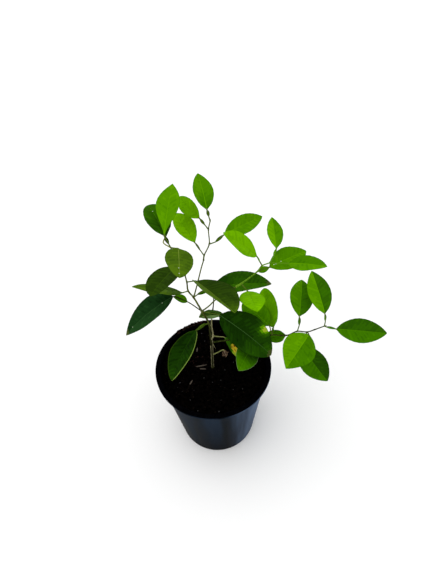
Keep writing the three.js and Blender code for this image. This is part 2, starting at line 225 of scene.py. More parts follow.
def stretched_noise(made, stretch, scale, detail, shift=(0, 0, 0)):
    """Noise on the piece's own coordinates, drawn out or squeezed along each axis."""
    place = node_of(made, "ShaderNodeTexCoord")
    mapping = node_of(made, "ShaderNodeMapping", Scale=stretch, Location=shift)
    grain = node_of(made, "ShaderNodeTexNoise", Scale=scale, Detail=detail)
    wire(made, place, "Object", mapping, "Vector")
    wire(made, mapping, "Vector", grain, "Vector")
    return grain


def two_tone(made, grain, dark, light, dark_at, light_at):
    """Colours the surface by a grain, from a dark tone to a light one, and returns the colour."""
    ramp = node_of(made, "ShaderNodeValToRGB")
    ends = ramp.color_ramp.elements
    for end, tone, position in ((ends[0], dark, dark_at), (ends[1], light, light_at)):
        end.position = position
        end.color = paint(*tone)
    wire(made, grain, "Fac", ramp, "Fac")
    wire(made, ramp, "Color", made.node_tree.nodes["Principled BSDF"], "Base Color")
    return ramp.outputs["Color"]


def varied_roughness(made, grain, smooth, rough):
    """Lets the roughness follow a grain."""
    spread = node_of(made, "ShaderNodeMapRange", From_Min=0.3, From_Max=0.7, To_Min=smooth, To_Max=rough)
    wire(made, grain, "Fac", spread, "Value")
    wire(made, spread, "Result", made.node_tree.nodes["Principled BSDF"], "Roughness")


def relief(made, scale, detail, depth, strength, stretch=(1, 1, 1)):
    """Presses a fine noise into the surface, as deep as depth in metres."""
    grain = stretched_noise(made, stretch, scale, detail)
    bump = node_of(made, "ShaderNodeBump", Distance=depth, Strength=strength)
    wire(made, grain, "Fac", bump, "Height")
    wire(made, bump, "Normal", made.node_tree.nodes["Principled BSDF"], "Normal")


def layered(made, under, over, share):
    """Lays one colour socket over another by a share, and wires the blend to the surface."""
    mix = made.node_tree.nodes.new("ShaderNodeMix")
    mix.data_type = "RGBA"
    blend = mix.outputs["Result"]
    links = made.node_tree.links
    links.new(share, mix.inputs["Factor"])
    links.new(under, mix.inputs["A"])
    links.new(over, mix.inputs["B"])
    links.new(blend, made.node_tree.nodes["Principled BSDF"].inputs["Base Color"])
    return blend


def climbing(made, axis, low_at, high_at):
    """A share that climbs from 0 to 1 between two places along an axis of the piece, in metres."""
    place = node_of(made, "ShaderNodeTexCoord")
    axes = node_of(made, "ShaderNodeSeparateXYZ")
    climb = node_of(made, "ShaderNodeMapRange", From_Min=low_at, From_Max=high_at)
    wire(made, place, "Object", axes, "Vector")
    wire(made, axes, axis, climb, "Value")
    return climb.outputs["Result"]


def plastic_grain(made):
    """The slight grain of moulded plastic."""
    relief(made, scale=1400, detail=2, depth=0.0002, strength=0.15)


# the wall, from its dark foot to its top, with a painted sheen on its right side laid over both, and
# streaks that are partly the plastic's own and partly painted bands of reflection
pot_plastic = finish("pot_plastic", paint(22, 30, 40), roughness=0.4, shine=0.003)
streaks_and_sheen_bands = stretched_noise(pot_plastic, (1, 1, 0.06), scale=40, detail=3, shift=(0.2, 0, 0))
wall_foot = two_tone(pot_plastic, streaks_and_sheen_bands, (2, 3, 5), (10, 14, 20), 0.35, 0.65)
wall_top = two_tone(pot_plastic, streaks_and_sheen_bands, (2, 9, 15), (26, 38, 52), 0.42, 0.6)
# painted sheen: the right side of the wall is lighter, as if lit from that side
painted_sheen_side = two_tone(pot_plastic, streaks_and_sheen_bands, (48, 62, 84), (94, 112, 138), 0.4, 0.62)
wall = layered(pot_plastic, wall_foot, wall_top, climbing(pot_plastic, "Z", 0, 0.12))
layered(pot_plastic, wall, painted_sheen_side, climbing(pot_plastic, "X", 0.012, 0.062))
varied_roughness(pot_plastic, streaks_and_sheen_bands, smooth=0.3, rough=0.5)
plastic_grain(pot_plastic)

# the lip and the inside of the wall, nearly black with painted shade
rim_painted_shade = finish("rim_painted_shade", paint(3, 3, 5), roughness=0.5, shine=0.005)
dust = stretched_noise(rim_painted_shade, (1, 1, 1), scale=300, detail=4)
two_tone(rim_painted_shade, dust, (0, 0, 1), (4, 4, 7), 0.4, 0.75)
plastic_grain(rim_painted_shade)

pot.data.materials.append(pot_plastic)
pot.data.materials.append(rim_painted_shade)
# faces turned inward or upward take the near-black painted shade
for face in pot.data.polygons:
    faces_inward = face.center.xy.dot(face.normal.xy) < -0.0001
    faces_up = face.normal.z > 0.5
    face.material_index = int(faces_inward or faces_up)
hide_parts("pot")
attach(pot, "root")

# The soil. Damp black potting mix pressed into the pot, level round the trunk, lumpy elsewhere, and
# banked up at the back left. It is one plug down to the pot's floor, with its top in fine clods that
# sink a little towards the wall.

SOIL_TOP = POT_HEIGHT - 8
SOIL_GAP = 0.3
LUMP_HEIGHT = 1.1
LUMP_LENGTH = 3.4
BANK_HEIGHT = 4
BANK_FROM = 38
BANK_TO = 68
LEVEL_WITHIN = 12
LUMPY_BEYOND = 24
CLOD_HEIGHT = 0.9
CLOD_LENGTH = 5
CRUMB_HEIGHT = 0.45
CRUMB_LENGTH = 1.7
CALM_SHARE = 0.8
CALM_WITHIN = 4
CALM_UNTIL = 10
EDGE_FALL = 1.4
EDGE_FALL_WIDTH = 5
SOIL_SIDES = 192
SOIL_RINGS = 58
TRUNK_FOOT = (-1, 1)


def eased(value, start, end):
    """A share that climbs smoothly from 0 at the start to 1 at the end."""
    share = min(1, max(0, (value - start) / (end - start)))
    return share * share * (3 - 2 * share)


def from_trunk(x, y):
    """How far a place on the soil lies from the trunk."""
    return math.hypot(x - TRUNK_FOOT[0], y - TRUNK_FOOT[1])


def soil_height(x, y):
    """The height of the soil in millimetres over a place in the pot."""
    rough = eased(from_trunk(x, y), LEVEL_WITHIN, LUMPY_BEYOND)
    coarse = math.sin(x / LUMP_LENGTH + 1) * math.cos(y / LUMP_LENGTH)
    fine = math.sin((x / 2 + y) / LUMP_LENGTH) / 2
    bank = eased((y - x) / math.sqrt(2), BANK_FROM, BANK_TO)
    return SOIL_TOP + rough * LUMP_HEIGHT * (coarse + fine) * (1 - bank) + BANK_HEIGHT * bank


soil_foot = FLOOR_THICKNESS + SOIL_GAP
soil_foot_radius = inner_radius(soil_foot) - SOIL_GAP
soil_edge = inner_radius(SOIL_TOP) - SOIL_GAP
bpy.ops.mesh.primitive_circle_add(
    vertices=SOIL_SIDES, radius=soil_foot_radius * MM, fill_type="NGON", location=(0, 0, soil_foot * MM))
soil = bpy.context.object
soil.name = "potting_soil"
bpy.ops.object.transform_apply(location=True, rotation=True, scale=True)
bpy.ops.object.mode_set(mode="EDIT")
bpy.ops.mesh.select_all(action="SELECT")
bpy.ops.mesh.extrude_region_move(TRANSFORM_OT_translate={"value": (0, 0, (SOIL_TOP - soil_foot) * MM)})
soil_widening = soil_edge / soil_foot_radius
bpy.ops.transform.resize(value=(soil_widening, soil_widening, 1), center_override=(0, 0, 0))
for ring in range(SOIL_RINGS):
    bpy.ops.mesh.inset(thickness=soil_edge * MM / (SOIL_RINGS + 1), depth=0)
bpy.ops.mesh.poke()
bpy.ops.mesh.select_all(action="SELECT")
bpy.ops.mesh.normals_make_consistent(inside=False)
bpy.ops.object.mode_set(mode="OBJECT")

# the third number of each place only sets the two noises apart
for point in soil.data.vertices:
    if point.co.z > (SOIL_TOP - 1) * MM:
        x, y = point.co.x / MM, point.co.y / MM
        calm = 1 - CALM_SHARE * (1 - eased(from_trunk(x, y), CALM_WITHIN, CALM_UNTIL))
        clods = CLOD_HEIGHT * noise.noise(Vector((x, y, 3)) / CLOD_LENGTH)
        crumbs = CRUMB_HEIGHT * noise.noise(Vector((x, y, 7)) / CRUMB_LENGTH)
        edge_fall = EDGE_FALL * eased(math.hypot(x, y), soil_edge - EDGE_FALL_WIDTH, soil_edge)
        point.co.z = (soil_height(x, y) + calm * (clods + crumbs) - edge_fall) * MM

soil_black = finish("soil_black", paint(4, 3, 3), roughness=0.95, shine=0.003)
peat = stretched_noise(soil_black, (1, 1, 1), scale=260, detail=6)
two_tone(soil_black, peat, (0, 0, 0), (9, 6, 5), 0.42, 0.75)
relief(soil_black, scale=900, detail=4, depth=0.0008, strength=0.7)
soil.data.materials.append(soil_black)
shade_smooth(soil, 50)
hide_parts("soil")
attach(soil, "root")

# The litter on the soil. Crumbs of peat and bark, redder near the trunk, a few pale grains of perlite
# and slivers of dry wood, each half sunk in the soil. Some peat lies on the lip at the back left. They
# are joined into one piece.

CRUMBS = 1500
CRUMB_SIZES = (0.5, 1.7)
CRUMB_SHRINKING = (0.5, 1)
CRUMB_TONES = ["crumb_dark", "crumb_dark", "crumb_brown"]
RED_CRUMB_TONES = ["crumb_dark", "crumb_brown", "crumb_red"]
RED_CRUMBS_ROUND = (-17, 22)
RED_CRUMBS_WITHIN = 19
CRUMB_TILT = 0.5
CRUMB_BREADTHS = (0.5, 0.9)
CRUMB_DEPTHS = (0.35, 0.7)
CRUMB_LIFT = 0.25
CRUMB_ROUGHNESS = (0.75, 1.2)
PERLITE_GRAINS = 18
PERLITE_SIZES = (0.5, 1.0)
PALE_GRAIN_SIZE = 1.1
PALE_GRAIN_LIFT = 0.3
PALE_GRAINS = [
    (-44, -20), (-13, -15), (-2, -22), (-31, -45), (4, -64), (15, -5), (9, -20), (27, 6), (-10, 45)]
LITTER_WITHIN = soil_edge - 2
CLEAR_OF_TRUNK = 5
LIP_CRUMBS = 170
LIP_CRUMB_SIZES = (0.8, 2.0)
LIP_CRUMB_BEARINGS = (96, 131)

# slivers of wood as (x, y, length, bearing), and their form as (share of length, half of the width)
WOOD_SLIVERS = [(-16, 4, 16, 5), (-14, -1, 9, 350), (-30, -20, 8, 60), (-21, 31, 7, 80), (18, 22, 9, 130)]
SLIVER_FORM = [(-0.5, 0.25), (-0.3, 0.8), (0.1, 0.9), (0.35, 0.6), (0.5, 0.2)]
SLIVER_SLOPE = 0.08
SLIVER_LIFT = 0.7
SLIVER_THICKNESS_SHARE = 0.35


class Heap:
    """Points in millimetres and faces, each with the name of its tone, that become one piece."""

    def __init__(self):
        self.points = []
        self.faces = []
        self.tones = []

    def add_points(self, points):
        """Adds points and returns the number of the first."""
        first = len(self.points)
        self.points.extend(points)
        return first

    def add_face(self, corners, tone):
        self.faces.append(corners)
        self.tones.append(tone)

    def piece(self, name, finishes, smooth_angle):
        """Makes the heap an object whose faces hold the finish that their tone names."""
        mesh = bpy.data.meshes.new(name)
        mesh.from_pydata([point * MM for point in self.points], [], self.faces)
        used = sorted(set(self.tones))
        for tone in used:
            mesh.materials.append(finishes[tone])
        mesh.polygons.foreach_set("material_index", [used.index(tone) for tone in self.tones])
        made = bpy.data.objects.new(name, mesh)
        bpy.context.collection.objects.link(made)
        shade_smooth(made, smooth_angle)
        return made


bpy.ops.mesh.primitive_ico_sphere_add(subdivisions=1, radius=1)
crumb_form = bpy.context.object
crumb_points = [point.co.copy() for point in crumb_form.data.vertices]
crumb_faces = [list(face.vertices) for face in crumb_form.data.polygons]
bpy.data.objects.remove(crumb_form)


def add_crumb(heap, draw, x, y, ground, size, tone):
    """A rough stone that lies on the ground at a place, flattened and turned at random."""
    turn = Matrix.Rotation(draw.uniform(0, 2 * math.pi), 3, "Z")
    spin = turn @ Matrix.Rotation(draw.uniform(-CRUMB_TILT, CRUMB_TILT), 3, "X")
    shape = Vector((1, draw.uniform(*CRUMB_BREADTHS), draw.uniform(*CRUMB_DEPTHS))) * size
    centre = Vector((x, y, ground + CRUMB_LIFT * size))
    first = heap.add_points([
        centre + spin @ (Vector(a * b for a, b in zip(point, shape)) * draw.uniform(*CRUMB_ROUGHNESS))
        for point in crumb_points])
    for face in crumb_faces:
        heap.add_face([first + corner for corner in face], tone)


def add_rings(heap, rings, tone):
    """A closed skin over rings of points, with its first and last ring capped."""
    sides = len(rings[0])
    first = heap.add_points([point for ring in rings for point in ring])
    for row in range(len(rings) - 1):
        for k in range(sides):
            a = first + row * sides + k
            b = first + row * sides + (k + 1) % sides
            heap.add_face([a, b, b + sides, a + sides], tone)
    last = first + (len(rings) - 1) * sides
    heap.add_face([first + k for k in reversed(range(sides))], tone)
    heap.add_face([last + k for k in range(sides)], tone)


def place_round(away, turn):
    """A place so far from the pot's axis, at a turn round it."""
    return away * math.cos(turn), away * math.sin(turn)


litter = Heap()
scatter = random.Random(11)
for k in range(CRUMBS + PERLITE_GRAINS):
    away = LITTER_WITHIN * math.sqrt(scatter.random())
    x, y = place_round(away, scatter.uniform(0, 2 * math.pi))
    if from_trunk(x, y) < CLEAR_OF_TRUNK:
        continue
    if k < CRUMBS:
        size = scatter.uniform(*CRUMB_SIZES) * scatter.uniform(*CRUMB_SHRINKING)
        is_red = math.hypot(x - RED_CRUMBS_ROUND[0], y - RED_CRUMBS_ROUND[1]) < RED_CRUMBS_WITHIN
        tone = scatter.choice(RED_CRUMB_TONES if is_red else CRUMB_TONES)
    else:
        size = scatter.uniform(*PERLITE_SIZES)
        tone = "perlite"
    add_crumb(litter, scatter, x, y, soil_height(x, y), size, tone)
for x, y in PALE_GRAINS:
    add_crumb(litter, scatter, x, y, soil_height(x, y) + PALE_GRAIN_LIFT, PALE_GRAIN_SIZE, "perlite")
for _ in range(LIP_CRUMBS):
    turn = math.radians(scatter.uniform(*LIP_CRUMB_BEARINGS))
    x, y = place_round(scatter.uniform(WALL_RADIUS_AT_TOP, RIM_RADIUS - LIP_CHAMFER), turn)
    size = scatter.uniform(*LIP_CRUMB_SIZES)
    add_crumb(litter, scatter, x, y, POT_HEIGHT, size, scatter.choice(RED_CRUMB_TONES))
for x, y, length, bearing in WOOD_SLIVERS:
    turn = math.radians(bearing)
    lie = Vector((math.cos(turn), math.sin(turn), SLIVER_SLOPE)).normalized()
    across = Vector((-lie.y, lie.x, 0)).normalized()
    middle = Vector((x, y, soil_height(x, y) + SLIVER_LIFT))
    sliver_rings = []
    for share, width in SLIVER_FORM:
        centre = middle + lie * length * share
        lift = Vector((0, 0, SLIVER_THICKNESS_SHARE * width))
        sliver_rings.append([
            centre + across * width, centre + lift, centre - across * width, centre - lift])
    add_rings(litter, sliver_rings, "sliver")

# each finish of the litter as (colour, roughness, shine)
LITTER_TONES = {
    "crumb_dark": ((2, 2, 2), 0.95, 0.003),
    "crumb_brown": ((17, 12, 9), 0.95, 0.003),
    "crumb_red": ((34, 21, 18), 0.95, 0.003),
    "perlite": ((54, 53, 54), 0.9, 0.01),
    "sliver": ((84, 76, 68), 0.85, 0.01),
}
litter_finishes = {}
for name, (colour, roughness, shine) in LITTER_TONES.items():
    litter_finishes[name] = finish(name, paint(*colour), roughness, shine)
    relief(litter_finishes[name], scale=2500, detail=3, depth=0.0003, strength=0.5)
soil_litter = litter.piece("soil_litter", litter_finishes, 25)
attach(soil_litter, "root")

# The trunk and its boughs. A slim woody stem that leans left as it climbs, with a small root flare,
# brown bark at its foot and greener bark above. Its side shoots leave it with a slight collar, and a
# dead shoot with strips of loose bark stands beside it.

TRUNK_RADIUS_AT_FOOT = 1.8
TRUNK_RADIUS_AT_TIP = 0.75
ROOT_FLARE = 0.45
ROOT_FLARE_HEIGHT = 9
ROOT_RIDGES = 3
ROOT_RIDGE_SHARE = 0.35
DEAD_STICK_RADIUS = 0.9
DEAD_STICK_TIP_RADIUS = 0.6
TRUNK_SIDES = 18
BOUGH_SIDES = 14
TWIG_SIDES = 12
STRIP_SIDES = 10
SPUR_SIDES = 8
BARK_RIDGE = 0.09
BARK_RIDGES = (2.2, 7)
BARK_KNOBS = (1.2, 2.3)
COLLAR_SWELL = 0.35
COLLAR_REACH = 2.2
KNUCKLE_SWELL = 0.22
KNUCKLE_REACH = 1.5
FOOT_COLLAR = 0.4
FOOT_COLLAR_REACH = 3
SPUR_FORM = [(-0.1, 1), (0.3, 0.85), (0.7, 0.5), (1, 0.12)]
DEAD_STRIP_SHIFT = (1.4, -0.8, 0)
SECOND_STRIP_SHIFT = (-1.1, -1.1, 0)
DEAD_STRIP_RADII = (0.4, 0.5)

# stems as steps of (length, bearing, rise), and each bough as (its place on the trunk, radii, tone, steps)
TRUNK_STEPS = [
    (47, 78, 82), (12, 104, 81), (21, 104, 81), (21, 156, 69),
    (24, 162, 70), (12, 175, 65), (16, 263, 86), (11, 230, 84)]
TRUNK_PLACES = [
    "foot", "low", "low_leaf", "below_fork", "right_fork", "top_fork", "left_leaf", "front_leaf", "tip"]
BOUGHS = {
    "top_bough": (
        "top_fork", (0.8, 0.7), "green_bark", [(4, 44, 62), (11, 44, 64), (25, 40, 68), (9, 36, 66)]),
    "right_bough": ("right_fork", (0.8, 0.75), "green_bark", [(14, 347, 50), (18, 343, 56), (34, 344, 47)]),
    "low_right_bough": ("low", (0.95, 0.9), "dark_bark", [(24, 2, 4), (22, 356, 12)]),
}
DRY_SCRAP_SHARE = 0.5
DEAD_STICK_FROM = 0.35
DEAD_STICK_STEPS = [(9, 5, 72), (13, 95, 35), (10, 80, 50), (10, 65, 65), (11, 35, 80), (16, 50, 86)]


def heading(bearing, rise):
    """A direction. A bearing of 0 is +X and 90 is +Y, and a rise is the angle above the horizon."""
    b = math.radians(bearing)
    r = math.radians(rise)
    return Vector((math.cos(r) * math.cos(b), math.cos(r) * math.sin(b), math.sin(r)))


def walk(start, steps):
    """The nodes of a chain of steps, each of a length on a bearing and a rise."""
    nodes = [start.copy()]
    for length, bearing, rise in steps:
        nodes.append(nodes[-1] + heading(bearing, rise) * length)
    return nodes


def smooth_line(nodes, spacing):
    """Points along a smooth curve through the nodes, about so many millimetres apart."""
    padded = [nodes[0] * 2 - nodes[1], *nodes, nodes[-1] * 2 - nodes[-2]]
    line = []
    for before, start, end, after in zip(padded, padded[1:], padded[2:], padded[3:]):
        t0 = math.sqrt((start - before).length)
        t1 = math.sqrt((end - start).length)
        t2 = math.sqrt((after - end).length)
        leave = ((start - before) / t0 - (end - before) / (t0 + t1) + (end - start) / t1) * t1
        arrive = ((end - start) / t1 - (after - start) / (t1 + t2) + (after - end) / t2) * t1
        cuts = max(1, round((end - start).length / spacing))
        for k in range(cuts):
            t = k / cuts
            line.append(
                start * (2 * t ** 3 - 3 * t ** 2 + 1) + leave * (t ** 3 - 2 * t ** 2 + t)
                + end * (3 * t ** 2 - 2 * t ** 3) + arrive * (t ** 3 - t ** 2))
    line.append(nodes[-1].copy())
    return line


def add_limb(heap, nodes, radius_at, sides, tone, spacing=1.3):
    """A round limb on a smooth curve through its nodes. radius_at takes the share of its length,
    the way round it and the distance from its start."""
    line = smooth_line(nodes, spacing)
    distances = [0]
    for a, b in zip(line, line[1:]):
        distances.append(distances[-1] + (b - a).length)
    out = (line[1] - line[0]).normalized().orthogonal().normalized()
    rings = []
    for k, centre in enumerate(line):
        way = (line[min(k + 1, len(line) - 1)] - line[max(k - 1, 0)]).normalized()
        out = (out - way * out.dot(way)).normalized()
        beside = way.cross(out)
        ring = []
        for side in range(sides):
            turn = 2 * math.pi * side / sides
            radius = radius_at(distances[k] / distances[-1], turn, distances[k])
            ring.append(centre + (out * math.cos(turn) + beside * math.sin(turn)) * radius)
        rings.append(ring)
    add_rings(heap, rings, tone)


def bark_relief(turn, distance, seed):
    """Long ridges that run along the bark with short knobs on them, in millimetres."""
    def bumps(waves_round, length):
        around = (math.cos(turn) * waves_round, math.sin(turn) * waves_round)
        return noise.noise(Vector((*around, distance / length + seed)))
    return BARK_RIDGE * (bumps(*BARK_RIDGES) + 0.5 * bumps(*BARK_KNOBS))


def add_cone(heap, start, way, form, sides, radius, tone):
    """A short round form along a way, given as (distance, share of the radius) at each ring."""
    out = way.orthogonal().normalized()
    beside = way.cross(out)
    rings = []
    for distance, share in form:
        ring = []
        for side in range(sides):
            turn = 2 * math.pi * side / sides
            ring.append(
                start + way * distance + (out * math.cos(turn) + beside * math.sin(turn)) * radius * share)
        rings.append(ring)
    add_rings(heap, rings, tone)


def add_spur(heap, start, way, length, radius, tone):
    """A bud, thorn or stub: a short cone with a blunt tip."""
    form = [(length * share, width) for share, width in SPUR_FORM]
    add_cone(heap, start, way, form, SPUR_SIDES, radius, tone)


def bump_at(distance, place, reach):
    """A soft bump of height 1 at a place along a limb."""
    return math.exp(-((distance - place) / reach) ** 2)


trunk_nodes = walk(Vector((TRUNK_FOOT[0], TRUNK_FOOT[1], SOIL_TOP + SOIL_GAP)), TRUNK_STEPS)
trunk_places = dict(zip(TRUNK_PLACES, trunk_nodes))
trunk_places["dry_scrap"] = trunk_nodes[0].lerp(trunk_nodes[1], DRY_SCRAP_SHARE)
collar_places = [sum(length for length, _, _ in TRUNK_STEPS[:k]) for k in range(1, len(TRUNK_STEPS))]


def trunk_radius(share, turn, distance):
    """The radius of the trunk, with its ridged root flare and a collar at each fork and leaf."""
    swell = max(0, 1 - distance / ROOT_FLARE_HEIGHT) ** 2
    ridge = 1 + ROOT_RIDGE_SHARE * math.cos(ROOT_RIDGES * turn)
    taper = TRUNK_RADIUS_AT_FOOT + (TRUNK_RADIUS_AT_TIP - TRUNK_RADIUS_AT_FOOT) * share
    collars = sum(bump_at(distance, place, COLLAR_REACH) for place in collar_places)
    plain = taper + ROOT_FLARE * swell * ridge + COLLAR_SWELL * collars * taper / 2
    return plain + bark_relief(turn, distance, 0)


def tapering(start_radius, end_radius, seed, node_places=()):
    """The radius of a green limb, with a collar at its foot and a slight knuckle at each leaf."""
    def radius_at(share, turn, distance):
        knuckles = sum(bump_at(distance, place, KNUCKLE_REACH) for place in node_places)
        plain = start_radius + (end_radius - start_radius) * share
        foot_collar = FOOT_COLLAR * math.exp(-distance / FOOT_COLLAR_REACH)
        return plain + KNUCKLE_SWELL * knuckles + foot_collar + 0.5 * bark_relief(turn, distance, seed)
    return radius_at


def stem_finish(name, dark, light):
    """The bark or bare wood of a stem, with fine fibres along its height."""
    made = finish(name, paint(*dark), roughness=0.6, shine=0.005)
    two_tone(made, stretched_noise(made, (1, 1, 0.2), scale=900, detail=4), dark, light, 0.35, 0.68)
    relief(made, scale=1600, detail=3, depth=0.0003, strength=0.5, stretch=(1, 1, 0.25))
    return made


# the trunk's own bark, brown at the foot and olive from about 20 cm above the ground
bark = finish("bark", paint(80, 80, 40), roughness=0.75, shine=0.005)
fibres = stretched_noise(bark, (1, 1, 0.12), scale=900, detail=5)
brown_bark = two_tone(bark, fibres, (18, 20, 8), (66, 68, 36), 0.38, 0.68)
olive_bark = two_tone(bark, fibres, (40, 46, 12), (104, 112, 50), 0.36, 0.66)
layered(bark, brown_bark, olive_bark, climbing(bark, "Z", 0.205, 0.235))
relief(bark, scale=1500, detail=4, depth=0.0004, strength=0.6, stretch=(1, 1, 0.2))

STEM_TONES = {
    "green_bark": ((50, 60, 16), (108, 118, 54)), "bright_bark": ((72, 114, 14), (122, 162, 44)),
    "dark_bark": ((28, 36, 10), (70, 80, 32)), "pale_wood": ((116, 112, 74), (178, 172, 134)),
    "grey_wood": ((40, 42, 28), (88, 88, 62)), "strip_wood": ((84, 82, 58), (150, 144, 112)),
    "brown_tip": ((14, 14, 10), (36, 34, 24))}
stem_finishes = {"bark": bark}
for name, (dark, light) in STEM_TONES.items():
    stem_finishes[name] = stem_finish(name, dark, light)

trunk_heap = Heap()
add_limb(trunk_heap, trunk_nodes, trunk_radius, TRUNK_SIDES, "bark", spacing=1.0)

# thorns and buds where old leaves have dropped, and the stub of a twig that was cut off
low = trunk_places["low"]
low_leaf = trunk_places["low_leaf"]
add_spur(trunk_heap, low_leaf, heading(205, 40), 4.5, 0.45, "bark")
add_spur(trunk_heap, low_leaf, heading(330, 55), 5.0, 0.4, "bark")
add_spur(trunk_heap, low.lerp(low_leaf, 0.6), heading(20, 45), 4.5, 0.45, "bark")
add_spur(trunk_heap, low + heading(340, 0), heading(345, -74), 15, 0.5, "pale_wood")

# the strips of dead bark that run down to the soil, one from the dead stick and one beside it
stick_foot = low.lerp(low_leaf, DEAD_STICK_FROM)
lower_trunk = [low.lerp(trunk_nodes[0], share) for share in (0.1, 0.4, 0.7, 0.97)]
strips = [([stick_foot, low, *lower_trunk], DEAD_STRIP_SHIFT), (lower_trunk, SECOND_STRIP_SHIFT)]
for seed, (strip, shift) in enumerate(strips, 5):
    strip_nodes = [node + Vector(shift) for node in strip]
    add_limb(trunk_heap, strip_nodes, tapering(*DEAD_STRIP_RADII, seed), STRIP_SIDES, "strip_wood")

trunk_piece = trunk_heap.piece("trunk_bark", stem_finishes, 60)
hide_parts("trunk")
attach(trunk_piece, "root")

tips = {"trunk": trunk_places["tip"]}
for seed, (name, (origin, radii, tone, steps)) in enumerate(BOUGHS.items(), 20):
    bough_nodes = walk(trunk_places[origin], steps)
    tips[name] = bough_nodes[-1]
    bough_heap = Heap()
    add_limb(bough_heap, bough_nodes, tapering(*radii, seed), BOUGH_SIDES, tone)
    bough_piece = bough_heap.piece(name + "_bark", stem_finishes, 60)
    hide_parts(name)
    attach(bough_piece, "root")

# the dead stick, pale where its bark is gone and grey above, with a broken brown tip
stick_nodes = walk(stick_foot, DEAD_STICK_STEPS)
stick_heap = Heap()
stick_middle = (DEAD_STICK_RADIUS + DEAD_STICK_TIP_RADIUS) / 2
lower_stick = tapering(DEAD_STICK_RADIUS, stick_middle, 31, (9, 22))
add_limb(stick_heap, stick_nodes[:5], lower_stick, TWIG_SIDES, "pale_wood")
upper_stick = tapering(stick_middle, DEAD_STICK_TIP_RADIUS, 32)
add_limb(stick_heap, stick_nodes[4:], upper_stick, TWIG_SIDES, "grey_wood")
add_spur(stick_heap, stick_nodes[3], heading(200, 30), 2.5, 0.5, "pale_wood")
add_spur(stick_heap, stick_nodes[-1], heading(0, 88), 1.4, 0.62, "brown_tip")
stick_piece = stick_heap.piece("dead_stick_bark", stem_finishes, 60)
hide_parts("dead_stick")
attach(stick_piece, "root")

# The leaves. Leathery lime leaves on jointed stalks, of which many carry narrow green wings. Each blade
# folds along its midrib, swells between its side veins and has a fine wavy edge. Young leaves are
# bright yellow-green and old ones dark. Each half of a blade has its own level on a ramp of greens,
# which holds that tint and also painted light and shade: the half turned to the light is set lighter.

LEAF_THICKNESS = 0.35
EDGE_THINNING = 0.45
LEAF_END_WIDTH = 0.7
WIDEST_POINT = 0.46
OUTLINE_FULLNESS = 0.75
DEFAULT_FOLD = 14
FOLD_ROUNDING = 0.6
BLADE_COLUMNS = 7
LEAST_VEINS = 4
VEIN_SPACING = 5.2
VEIN_LEAN = 0.13
VEIN_SCATTER = 0.012
VEIN_HALF_WIDTH = 0.2
VEIN_NARROWING = 0.6
VEIN_DEPTH = 0.12
VEIN_SINK = 0.5
VEIN_PINCH = 0.4
FIRST_VEIN = 0.75
VEIN_ROOM = 0.9
RIB_HALF_WIDTHS = (0.35, 0.1)
RIB_DEPTH = 0.55
RIB_THINNING = 0.75
RIB_HOLLOW = 0.06
RIB_MOST = 0.6
EDGE_MOST = 0.3
QUILT_HEIGHT = 0.16
SCALLOP = 0.14
EDGE_CUP = 0.045
BELLY_RISE = 0.02
EDGE_WAVE = 0.45
EDGE_WAVES = (1.2, 2.2)
FULL_WAVE_FROM = 25
EDGE_WIDTH = 0.32
EDGE_STEP = 1.5
BRIGHT_FROM = 10.5
MOTTLE = 1.2
MOTTLE_LENGTH = 7
PATCH_UNEVENNESS = 0.35
PATCH_RIPPLES = 9
RAGGED_RIPPLES = 7
RAGGED_SIDES = (3, -3)
# the vein strip a step lighter, the slope after each vein painted lighter and the slope before the next
# painted darker, as painted light and shade on the quilting
VEIN_AND_QUILT_SHADE_STEPS = {"before": 1, "after": 0.2, "crest": -0.2}
WING_COLUMNS = 2
WING_ROWS = 8
WING_DROOP = 8
WING_FOLD = 8
WING_WAVE = 0.1
WING_RIB_HALF_WIDTH = 0.3
WING_RIB_DEPTH = 0.25
WING_RIB_MOST = 0.5
STALK_RADIUS = 0.65
STALK_SIDES = 10
STALK_JOINT = 0.3
STALK_JOINT_REACH = 1.6
BLADE_JOINT_SHARE = 0.8
BLADE_JOINT_REACH = 1.3
STALK_TIP_SHARE = 0.15
STALK_TIP_NARROWING = 0.35
STALK_UNDER_BLADE = 3
BLADE_OVERLAP = 0.5
LONG_STALK = 6
BUD_FROM = 0.9
BUD_LIFT = 0.9
BUD_LENGTH = 1.9
BUD_RADIUS = 0.5
SHOOT_BUD_LENGTH = 3
SPECK_RADIUS = 0.5
SPECK_SIDES = 6
SPECK_FORM = [(0, 1), (0.12, 0.9), (0.2, 0.5)]

# screen colours, from the darkest to the brightest step of each ramp
RAMPS = {
    "fresh": [
        (15, 40, 3), (21, 51, 4), (27, 62, 5), (33, 72, 4), (39, 82, 4), (45, 91, 3), (50, 100, 2),
        (56, 109, 0), (63, 118, 0), (71, 127, 0), (79, 136, 0), (87, 145, 0), (95, 154, 0), (103, 164, 0),
        (113, 175, 0)],
    "olive": [
        (18, 34, 4), (24, 43, 6), (30, 51, 8), (36, 59, 9), (42, 67, 10), (49, 76, 11), (57, 86, 12),
        (66, 96, 13), (76, 107, 14)],
    "blue": [(12, 36, 10), (17, 44, 15), (22, 52, 20), (28, 61, 25), (35, 70, 30), (43, 80, 36)],
    "dry": [(70, 54, 42), (98, 78, 60), (122, 102, 82), (142, 124, 104)],
}
LEAF_ACCENTS = {
    "under": (96, 128, 62), "under_rib": (134, 156, 88), "under_pale": (112, 146, 82),
    "under_dark": (58, 90, 28), "rib_pale": (66, 104, 50), "rib_olive": (112, 132, 50),
    "rib_blue": (52, 84, 44), "edge_pale": (112, 134, 86), "yellow": (200, 172, 40),
    "yellow_green": (150, 172, 40), "yellow_edge": (122, 148, 62), "tip_brown": (70, 80, 34),
    "spot": (120, 68, 20), "speck": (214, 222, 196), "stalk": (84, 104, 34),
    "stalk_dark": (54, 62, 24), "stalk_bright": (84, 132, 20), "stalk_pale": (140, 144, 88)}


